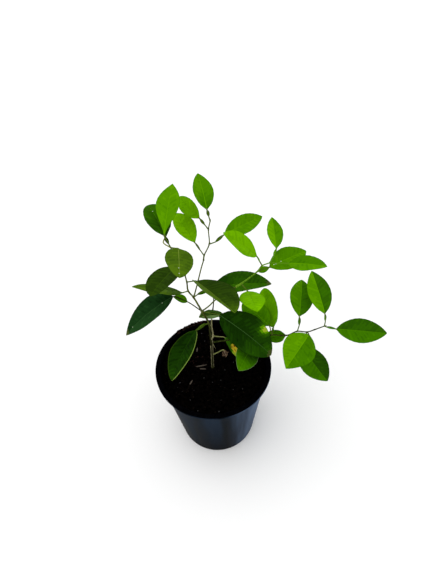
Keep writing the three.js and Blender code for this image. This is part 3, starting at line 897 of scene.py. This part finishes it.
def leaf_finish(name, colour):
    """The waxy skin of a leaf, in one colour, with fine pores."""
    made = finish(name, paint(*colour), roughness=0.45, shine=0.003)
    varied_roughness(made, stretched_noise(made, (1, 1, 1), scale=1100, detail=2), smooth=0.38, rough=0.56)
    relief(made, scale=700, detail=3, depth=0.00022, strength=0.35)
    return made


leaf_finishes = dict(stem_finishes)
for family, ramp in RAMPS.items():
    for step, colour in enumerate(ramp):
        leaf_finishes[f"{family}{step}"] = leaf_finish(f"leaf_{family}_{step}", colour)
for name, colour in LEAF_ACCENTS.items():
    leaf_finishes[name] = leaf_finish("leaf_" + name, colour)


def ramp_tone(family, level):
    """The tone nearest to a level on a ramp."""
    return f"{family}{min(len(RAMPS[family]) - 1, max(0, round(level)))}"


def leaf_outline(share, widest, fullness):
    """Half the width of a leaf, as a share of its widest, at each place from its base to its tip."""
    along = share ** (math.log(0.5) / math.log(widest))
    return max(0, math.sin(math.pi * along)) ** fullness


def blade_rows(veins):
    """The rows of a blade from base to tip as (share of length, kind, vein). A vein is the strip
    between a row before it and a row after it, and a crest lies between two veins."""
    if not veins:
        return [(k / WING_ROWS, "plain", 0) for k in range(WING_ROWS + 1)]
    centres = [(k + FIRST_VEIN) / (veins + VEIN_ROOM) for k in range(veins)]
    rows = [(0, "plain", 0)]
    for k, (centre, following) in enumerate(zip(centres, [*centres[1:], 1])):
        rows += [(centre, "before", k), (centre, "after", k), ((centre + following) / 2, "crest", k)]
    return [*rows, (1, "plain", 0)]


def blade_surface(base, length, aim, roll, droop, fold):
    """The bent surface of a blade, in the same frame of directions as the part's source. It gives the
    place for a share of the length, a distance across and a height over the surface."""
    along = heading(*aim)
    level = heading(aim[0] + 90, 0)
    upright = along.cross(level)
    tilt = math.radians(roll)
    side = level * math.cos(tilt) + upright * math.sin(tilt)
    up = along.cross(side)
    arch = math.radians(droop)
    bow = length / arch
    steepness = math.tan(math.radians(fold))

    def place(share, across, height):
        swing = (share - 0.5) * arch
        rib = base + along * bow * (math.sin(swing) + math.sin(arch / 2))
        rib += up * bow * (math.cos(swing) - math.cos(arch / 2))
        outward = along * math.sin(swing) + up * math.cos(swing)
        rounded = math.sqrt(across * across + FOLD_ROUNDING ** 2) - FOLD_ROUNDING
        return rib + side * across + up * rounded * steepness + outward * height

    return place


def add_blade(
        heap, draw, base, blade, aim, roll, droop, greens, fold=DEFAULT_FOLD, widest=WIDEST_POINT,
        fullness=OUTLINE_FULLNESS, ragged=0, rib=None, edges=None, edge_width=EDGE_WIDTH,
        under=("under", "under"), patches=(), shades=(), veined=True):
    """A leaf's blade as a thin closed shell. Its left half comes first in every pair of values.
    Patches are (share, across, reach, tone), and shades (share, across, reach, steps on the ramp).
    Shades hold the leaf's own tints on some leaves and painted shadow and painted sheen on others."""
    length, width = blade
    narrowing = math.cos(math.radians(fold))
    family, *levels = greens

    # the midrib is darker than a bright blade and lighter than a dark one
    rib_step = -1 if levels[0] > BRIGHT_FROM else 2
    rib_tone = rib or ramp_tone(family, max(levels) + rib_step)
    edge_tones = edges or [ramp_tone(family, level - EDGE_STEP) for level in levels]
    place = blade_surface(base, length, aim, roll, droop, fold)
    columns = BLADE_COLUMNS if veined else WING_COLUMNS
    veins = max(LEAST_VEINS, round(length / VEIN_SPACING)) if veined else 0
    rows = blade_rows(veins)
    wave_phases = [draw.uniform(0, 2 * math.pi) for _ in range(2)]
    wave_counts = [draw.uniform(*EDGE_WAVES) for _ in range(2)]
    wave_height = EDGE_WAVE * min(1, width / FULL_WAVE_FROM) if veined else WING_WAVE
    vein_shifts = [[draw.uniform(-VEIN_SCATTER, VEIN_SCATTER) for _ in range(veins + 1)] for _ in range(2)]
    mottle_seed = draw.uniform(0, 90)

    def section_point(share, kind, vein, half_index, step):
        """A point's share of the length, its distance from the midrib, and the heights of the blade's
        upper and under side there. Step 0 is beside the midrib and the last step is the edge."""
        out = min(1, step / columns)
        lean = VEIN_LEAN * out * math.sin(math.pi * share) if veined else 0
        shift = vein_shifts[half_index][vein] * out if kind != "plain" else 0
        vein_half = VEIN_HALF_WIDTH * (1 - VEIN_NARROWING * out) / length
        nudge = {"before": -vein_half, "after": vein_half}.get(kind, 0)
        here = min(1, max(0, share + lean + shift * math.sin(math.pi * share) + nudge))
        middle = math.sin(math.pi * here)
        half = max(LEAF_END_WIDTH, width * leaf_outline(here, widest, fullness) * narrowing) / 2
        half *= 1 + ragged * noise.noise(
            Vector((here * RAGGED_RIPPLES, RAGGED_SIDES[half_index], mottle_seed)))
        if veined:
            half += SCALLOP * (1 if kind == "crest" else -VEIN_PINCH) * middle
            rib_half = RIB_HALF_WIDTHS[0] + (RIB_HALF_WIDTHS[1] - RIB_HALF_WIDTHS[0]) * here
            rib_half = min(rib_half, half * RIB_MOST)
        else:
            rib_half = min(WING_RIB_HALF_WIDTH, half * WING_RIB_MOST)
        inner = half - min(edge_width, half * EDGE_MOST)
        across = half if step > columns else rib_half + (inner - rib_half) * out
        belly = math.sin(math.pi * out) * (1 - abs(2 * here - 1) ** 3)
        quilt = QUILT_HEIGHT * belly * (1 if kind == "crest" else -VEIN_SINK) if veined else 0
        cup = -EDGE_CUP * half * out ** 3 * middle + BELLY_RISE * half * belly
        wave = wave_height * out * out * middle * math.sin(
            2 * math.pi * wave_counts[half_index] * here + wave_phases[half_index])
        height = quilt + cup + wave
        thick = LEAF_THICKNESS * (1 - EDGE_THINNING * out ** 3)
        proud = VEIN_DEPTH * (1 - out) if kind in ("before", "after") else 0
        return here, across, height + thick / 2, height - thick / 2 - proud

    top, under_side, flats = [], [], []
    for share, kind, vein in rows:
        left = [section_point(share, kind, vein, 0, step) for step in range(columns + 1, -1, -1)]
        right = [section_point(share, kind, vein, 1, step) for step in range(columns + 2)]
        rib_depth = RIB_DEPTH * (1 - RIB_THINNING * share) if veined else WING_RIB_DEPTH
        midrib = (share, 0, LEAF_THICKNESS / 2 - RIB_HOLLOW, -LEAF_THICKNESS / 2 - rib_depth)
        section = [*left, midrib, *((here, -across, over, below) for here, across, over, below in right)]
        top.append([place(here, across, over) for here, across, over, _ in section])
        under_side.append([place(here, across, below) for here, across, _, below in section])
        flats.append([(here, across / (width / 2)) for here, across, _, _ in section])

    count = len(top[0])
    centre = count // 2
    rib_columns = (centre - 1, centre)
    first_top = heap.add_points([point for row in top for point in row])
    first_under = heap.add_points([point for row in under_side for point in row])

    def face_tone(row, column):
        if column in rib_columns:
            return rib_tone
        if column in (0, count - 2):
            return edge_tones[column > 0]
        share = (flats[row][column][0] + flats[row + 1][column + 1][0]) / 2
        across = (flats[row][column][1] + flats[row + 1][column + 1][1]) / 2

        def away_from(other_share, other_across):
            return math.hypot((share - other_share) * length, (across - other_across) * width / 2)

        for patch_share, patch_across, reach, patch_tone in patches:
            ripple = Vector((share * PATCH_RIPPLES, across * PATCH_RIPPLES, mottle_seed))
            uneven = 1 + PATCH_UNEVENNESS * noise.noise(ripple)
            if away_from(patch_share, patch_across) < reach * uneven:
                return patch_tone
        # each half's level is its tint together with painted light and shade for how that half faces the
        # light
        level = levels[column >= centre]
        for shade_share, shade_across, reach, steps in shades:
            level += steps * (1 - eased(away_from(shade_share, shade_across), 0, reach))
        spot = (share * length / MOTTLE_LENGTH, across * width / (2 * MOTTLE_LENGTH), mottle_seed)
        # lighter veins, with painted light and shade on the slopes between them
        vein_and_quilt_shade_step = VEIN_AND_QUILT_SHADE_STEPS.get(rows[row][1], 0)
        return ramp_tone(family, level + MOTTLE * noise.noise(Vector(spot)) + vein_and_quilt_shade_step)

    for row in range(len(rows) - 1):
        for column in range(count - 1):
            a = row * count + column
            quad = [a, a + 1, a + count + 1, a + count]
            heap.add_face([first_top + corner for corner in reversed(quad)], face_tone(row, column))
            under_tone = "under_rib" if column in rib_columns else under[column >= centre]
            heap.add_face([first_under + corner for corner in quad], under_tone)
        for column in (0, count - 1):
            a = row * count + column
            rim = [first_top + a, first_under + a, first_under + a + count, first_top + a + count]
            heap.add_face(rim if column else rim[::-1], edge_tones[column > 0])
    for row in (0, len(rows) - 1):
        for column in range(count - 1):
            a = row * count + column
            end = [first_top + a, first_top + a + 1, first_under + a + 1, first_under + a]
            heap.add_face(end if row else end[::-1], edge_tones[0])
    return place


def bearing_and_rise(way):
    """The bearing and rise of a direction, in degrees."""
    return (math.degrees(math.atan2(way.y, way.x)), math.degrees(math.asin(way.z / way.length)))


def add_leaf(
        blades, stems, draw, node, stalk, aim, bow=(0, 0, 90), stalk_tone="stalk", specks=(), wing=None,
        wing_greens=None, **blade_form):
    """A whole leaf grown from a stem's node: stalk, wing and blade, with a bud in the stalk's crook.
    The stalk is (length, bearing, rise), its bow (depth, bearing, rise), and the wing (share of the
    stalk, width, roll) and maybe its fold."""
    length, bearing, rise = stalk
    bow_depth, *bow_way = bow
    sideways = heading(*bow_way) * bow_depth
    way = heading(bearing, rise)
    base = node + way * length
    ahead = heading(*aim)

    def bowed_back(share):
        return base - way * length * share + sideways * 4 * share * (1 - share)

    def stalk_radius(share, turn, distance):
        foot_joint = math.exp(-distance / STALK_JOINT_REACH)
        blade_joint = BLADE_JOINT_SHARE * bump_at(distance, length, BLADE_JOINT_REACH)
        near_tip = max(0, share - (1 - STALK_TIP_SHARE)) / STALK_TIP_SHARE
        joints = 1 + STALK_JOINT * (foot_joint + blade_joint)
        return STALK_RADIUS * joints * (1 - STALK_TIP_NARROWING * near_tip)

    stalk_nodes = [node, bowed_back(0.5), base, base + ahead * STALK_UNDER_BLADE]
    add_limb(stems, stalk_nodes, stalk_radius, STALK_SIDES, stalk_tone, spacing=1.0)
    if length > LONG_STALK:
        bud_way = (way + Vector((0, 0, BUD_LIFT))).normalized()
        add_spur(stems, node + way * BUD_FROM, bud_way, BUD_LENGTH, BUD_RADIUS, stalk_tone)
    place = add_blade(blades, draw, base - ahead * BLADE_OVERLAP, aim=aim, **blade_form)
    for share, across in specks:
        lie = (place(share, across, 1) - place(share, across, 0)).normalized()
        speck_foot = place(share, across, LEAF_THICKNESS)
        add_cone(blades, speck_foot, lie, SPECK_FORM, SPECK_SIDES, SPECK_RADIUS, "speck")
    if wing:
        share, width, roll, wing_fold = (*wing, WING_FOLD)[:4]
        wing_start = bowed_back(share)
        wing_way = base - wing_start
        add_blade(
            blades, draw, wing_start, (wing_way.length, width), bearing_and_rise(wing_way), roll,
            WING_DROOP, wing_greens or blade_form["greens"], wing_fold, veined=False)


# each leaf on the trunk as (its place there, its form)
LEAVES_ON_TRUNK = {
    "leaf_left_long": ("left_leaf", dict(
        stalk=(7, 187, -9), blade=(59, 31), aim=(191, 26), roll=24, droop=8, fold=2,
        greens=("olive", 8, 7), shades=[(0.1, 0, 28, -2.5)])),
    "leaf_front": ("front_leaf", dict(
        stalk=(13, 333, 28), blade=(76, 45), aim=(301, 13), roll=-27, droop=6, fold=27, widest=0.5,
        fullness=0.62, rib="rib_olive", greens=("olive", 4, 8),
        shades=[(1.0, 0.2, 20, 3), (0.3, 0.7, 22, -1)])),
    "leaf_back_right": ("top_fork", dict(
        stalk=(22, 21, 8), bow=(3, 0, 90), blade=(71, 39), aim=(355, 7), roll=-7, droop=27, fold=17,
        widest=0.48, wing=(0.8, 5, 10), greens=("fresh", 3.5, 5.5), shades=[(0.1, 0.4, 26, -2)],
        patches=[(1.0, 0, 6, "tip_brown")])),
    # the yellow spot's halo and the brown tip are its own tints; the lighter lower half is a painted sheen
    "leaf_large_right": ("right_fork", dict(
        stalk=(22, 338, 2), blade=(83, 47), aim=(334, -36), roll=21, droop=40, fold=22, fullness=0.7,
        wing=(0.6, 3, 19), greens=("fresh", 1.2, 1.4), rib="rib_pale",
        shades=[(0.65, 0.8, 15, 8), (0.7, -0.5, 24, 2), (0.92, 0.2, 16, 2.5)],
        patches=[
            (1.0, 0, 7, "tip_brown"), (0.67, 0.82, 2, "yellow"), (0.66, 0.8, 4.5, "yellow_green"),
            (0.65, 0.78, 7, "fresh11")])),
    "leaf_left_low": ("right_fork", dict(
        stalk=(41, 176, 41), bow=(4, 0, 90), blade=(74, 41), aim=(201, -30), roll=6, droop=28,
        widest=0.42, fullness=0.8, wing=(0.5, 12, -15, 30), greens=("blue", 3, 2),
        patches=[(1.0, 0, 6, "tip_brown")], wing_greens=("fresh", 9, 9), rib="rib_blue",
        stalk_tone="stalk_dark", specks=[(0.82, -0.35), (0.2, 0.3)])),
    "leaf_behind_trunk": ("right_fork", dict(
        stalk=(13, 160, -73), blade=(30, 20), aim=(0, 3), roll=-83, droop=14, fullness=0.6,
        greens=("olive", 6, 6), under=("under_pale", "under_dark"))),
    "leaf_over_pot": ("below_fork", dict(
        stalk=(19, 186, -32), bow=(2, 0, 90), blade=(68, 36), aim=(239, -21), roll=23, droop=26,
        widest=0.48, fullness=0.7, wing=(0.8, 9, 22), greens=("fresh", 1, 1), wing_greens=("olive", 7, 7),
        edges=("yellow_edge", "olive4"), edge_width=1.2, shades=[(0.3, -0.3, 20, -1)])),
    "leaf_spotted": ("low_leaf", dict(
        stalk=(26, 26, -42), blade=(38, 19), aim=(319, -47), roll=-19, droop=21, widest=0.49,
        fullness=0.69, greens=("fresh", 4, 5), stalk_tone="stalk_pale",
        patches=[
            (0.42, -0.2, 1.5, "spot"), (0.49, 0.25, 1.4, "spot"), (0.57, -0.05, 1.5, "spot"),
            (0.5, 0, 6, "yellow"), (0.66, -0.4, 6, "yellow_green")])),
    "dry_scrap": ("dry_scrap", dict(
        stalk=(20, 352, 40), blade=(12, 8), aim=(305, -62), roll=10, droop=30, fold=20,
        greens=("dry", 0.6, 0), under=("dry0", "dry1"), ragged=0.8, stalk_tone="stalk_pale")),
}

# each shoot as (what bears it, radii, tone, steps, leaves), and each leaf as (its step, its form)
SHOOTS = {
    "leader_foliage": ("trunk", (0.75, 0.6), "green_bark", [(14, 206, 77), (34, 214, 76)], [
        (0, dict(
            stalk=(7, 211, 28), blade=(52, 29), aim=(243, 9), roll=4, droop=22, fold=16, widest=0.51,
            fullness=0.5, greens=("olive", 3.5, 3.5))),
        (1, dict(
            stalk=(12, 317, 23), blade=(49, 27), aim=(273, 9), roll=-15, droop=11, fold=8, fullness=0.59,
            greens=("olive", 7, 7), rib="rib_olive", shades=[(0.8, -0.5, 14, 1.5), (0.3, 0.5, 12, -1)],
            specks=[(0.72, -0.6), (0.88, -0.3)])),
        (1, dict(
            stalk=(14, 138, 61), blade=(54, 26), aim=(75, 35), roll=-8, droop=15, fold=12, widest=0.6,
            fullness=0.95, wing=(0.7, 4, -8), greens=("fresh", 10, 10), wing_greens=("olive", 1, 1))),
        # its darker base is painted shadow from the leaves above it
        (1, dict(
            stalk=(12, 120, 50), bow=(5, 180, 0), blade=(49, 30), aim=(114, 10), roll=-2, droop=43,
            fold=33, widest=0.4, greens=("fresh", 5.5, 5.5), shades=[(0.2, 0, 24, -2.5)],
            specks=[(0.7, -0.2)], stalk_tone="stalk_pale")),
    ]),
    "top_foliage": (
        "top_bough", (0.7, 0.6), "green_bark", [
            (6, 54, 72), (15, 25, 62), (18, 81, 80), (10, 24, 75)], [
        (0, dict(
            stalk=(19, 155, 59), blade=(44, 23), aim=(119, 17), roll=-6, droop=26, fold=20, widest=0.49,
            fullness=0.7, wing=(0.6, 3, -4), greens=("fresh", 13.5, 13), wing_greens=("olive", 6, 6))),
        (1, dict(
            stalk=(20, 4, 33), bow=(2.5, 0, -90), blade=(46, 22), aim=(21, 10), roll=27, droop=20,
            fold=15, widest=0.5, wing=(0.6, 4, 24), greens=("fresh", 9, 9), wing_greens=("olive", 6, 6))),
        (2, dict(
            stalk=(15, 140, 41), blade=(39, 18), aim=(124, 9), roll=-36, droop=20, fold=25, fullness=0.65,
            wing=(0.6, 3, -33), greens=("fresh", 12, 12), wing_greens=("olive", 6, 6))),
        (3, dict(
            stalk=(13, 120, 67), blade=(42, 22), aim=(101, 29), roll=9, droop=20, wing=(0.6, 4, 9),
            greens=("fresh", 9.5, 9), wing_greens=("olive", 5, 5), shades=[(0.15, -0.2, 18, -2)])),
    ]),
    "right_foliage": (
        "right_bough", (1.0, 0.6), "bright_bark", [
            (8, 344, 47), (27, 343, 52), (11, 338, 63), (9, 343, 36)], [
        (0, dict(
            stalk=(11, 305, -19), blade=(45, 26), aim=(277, 20), roll=-4, droop=15, fold=7, widest=0.5,
            fullness=0.78, greens=("fresh", 13, 13))),
        (1, dict(
            stalk=(14, 353, 28), blade=(47, 25), aim=(27, -1), roll=23, droop=20, wing=(0.95, 7, 60),
            greens=("fresh", 9, 9.6), wing_greens=("fresh", 9, 9),
            specks=[(0.12, 0.25), (0.2, 0.45), (0.3, 0.2), (0.17, 0.1)])),
        (2, dict(
            stalk=(14, 173, 66), blade=(45, 24), aim=(176, 44), roll=-12, droop=18, fold=11, widest=0.5,
            wing=(0.6, 3, -12), greens=("fresh", 12.8, 12.8))),
        (3, dict(
            stalk=(17, 34, 62), bow=(1.5, 0, 0), blade=(37, 17), aim=(90, 17), roll=12, droop=16,
            fullness=0.8, wing=(0.6, 3, 17), greens=("fresh", 11.5, 8.7), stalk_tone="stalk_bright")),
        (3, dict(
            stalk=(19, 357, -5), blade=(41, 21), aim=(326, 19), roll=7, droop=15, fold=11,
            greens=("fresh", 8, 10), stalk_tone="stalk_bright")),
    ]),
    "low_right_foliage": (
        "low_right_bough", (0.9, 0.65), "dark_bark", [
            (4, 356, 12), (27, 351, 14), (18, 353, 0), (15, 350, 39), (12, 350, 1), (10, 346, 38),
            (13, 349, 38)], [
        # its dark base and upper side are painted shadow cast by the large right leaf
        (0, dict(
            stalk=(9, 307, 26), blade=(53, 29), aim=(242, 5), roll=-31, droop=5, fold=10, widest=0.53,
            fullness=0.72, greens=("fresh", 8.5, 8), edges=("edge_pale", "edge_pale"),
            shades=[(0.25, 0.7, 36, -8), (0, 0, 24, -4)])),
        (1, dict(
            stalk=(12, 64, 74), blade=(53, 29), aim=(97, 20), roll=-37, droop=20, fold=13, widest=0.48,
            fullness=0.6, wing=(0.6, 4, -39), greens=("fresh", 11, 11))),
        (1, dict(
            stalk=(15, 135, 70), blade=(50, 30), aim=(126, -1), roll=-12, droop=28, fold=17,
            greens=("fresh", 8, 8.6), shades=[(0.35, 0.8, 18, -1.5)])),
        (2, dict(
            stalk=(2, 142, -30), blade=(33, 17), aim=(156, -28), roll=-56, droop=20, fold=12, widest=0.39,
            fullness=0.79, greens=("fresh", 7.5, 7.5))),
        (3, dict(
            stalk=(24, 77, 80), bow=(1.5, 0, 0), blade=(52, 29), aim=(77, 11), roll=12, droop=19, fold=11,
            widest=0.48, wing=(0.6, 4, 3), greens=("fresh", 9, 6))),
        (4, dict(
            stalk=(5, 278, 12), blade=(62, 39), aim=(234, 7), roll=-17, droop=12, fold=5, fullness=0.83,
            greens=("fresh", 8, 11))),
        (4, dict(
            stalk=(22, 190, -68), blade=(63, 33), aim=(318, -43), roll=46, droop=20, fold=12, widest=0.49,
            fullness=0.79, greens=("fresh", 3, 6.5))),
        (6, dict(
            stalk=(20, 117, 80), bow=(1, 0, 0), blade=(55, 28), aim=(98, 21), roll=-4, droop=19, fold=15,
            fullness=0.81, wing=(0.6, 4, -8), greens=("fresh", 10.5, 5.5))),
        (6, dict(
            stalk=(18, 4, -29), bow=(1.5, 0, -90), blade=(60, 30), aim=(352, -4), roll=34, droop=18,
            fold=15, fullness=0.78, wing=(0.9, 3, 34), greens=("fresh", 4.5, 7))),
    ]),
}

growth = random.Random(7)
for name, (origin, spec) in LEAVES_ON_TRUNK.items():
    blades = Heap()
    stems = Heap()
    add_leaf(blades, stems, growth, trunk_places[origin], **spec)
    blade_piece = blades.piece(name + "_blade", leaf_finishes, 50)
    stalk_piece = stems.piece(name + "_stalk", leaf_finishes, 60)
    for piece in (blade_piece, stalk_piece):
        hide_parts(name)
        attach(piece, "root")

for seed, (name, (bearer, radii, twig_tone, steps, leaves)) in enumerate(SHOOTS.items(), 40):
    nodes = walk(tips[bearer], steps)
    node_places = [sum(step[0] for step in steps[:k]) for k in range(1, len(steps))]
    blades = Heap()
    stems = Heap()
    add_limb(stems, nodes, tapering(*radii, seed, node_places), TWIG_SIDES, twig_tone)
    add_spur(stems, nodes[-1], heading(*steps[-1][1:]), SHOOT_BUD_LENGTH, radii[1], twig_tone)
    for step, spec in leaves:
        add_leaf(blades, stems, growth, nodes[step + 1], **spec)
    blade_piece = blades.piece(name.replace("foliage", "leaves"), leaf_finishes, 50)
    twig_piece = stems.piece(name.replace("foliage", "twigs"), leaf_finishes, 60)
    for piece in (blade_piece, twig_piece):
        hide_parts(name)
        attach(piece, "root")
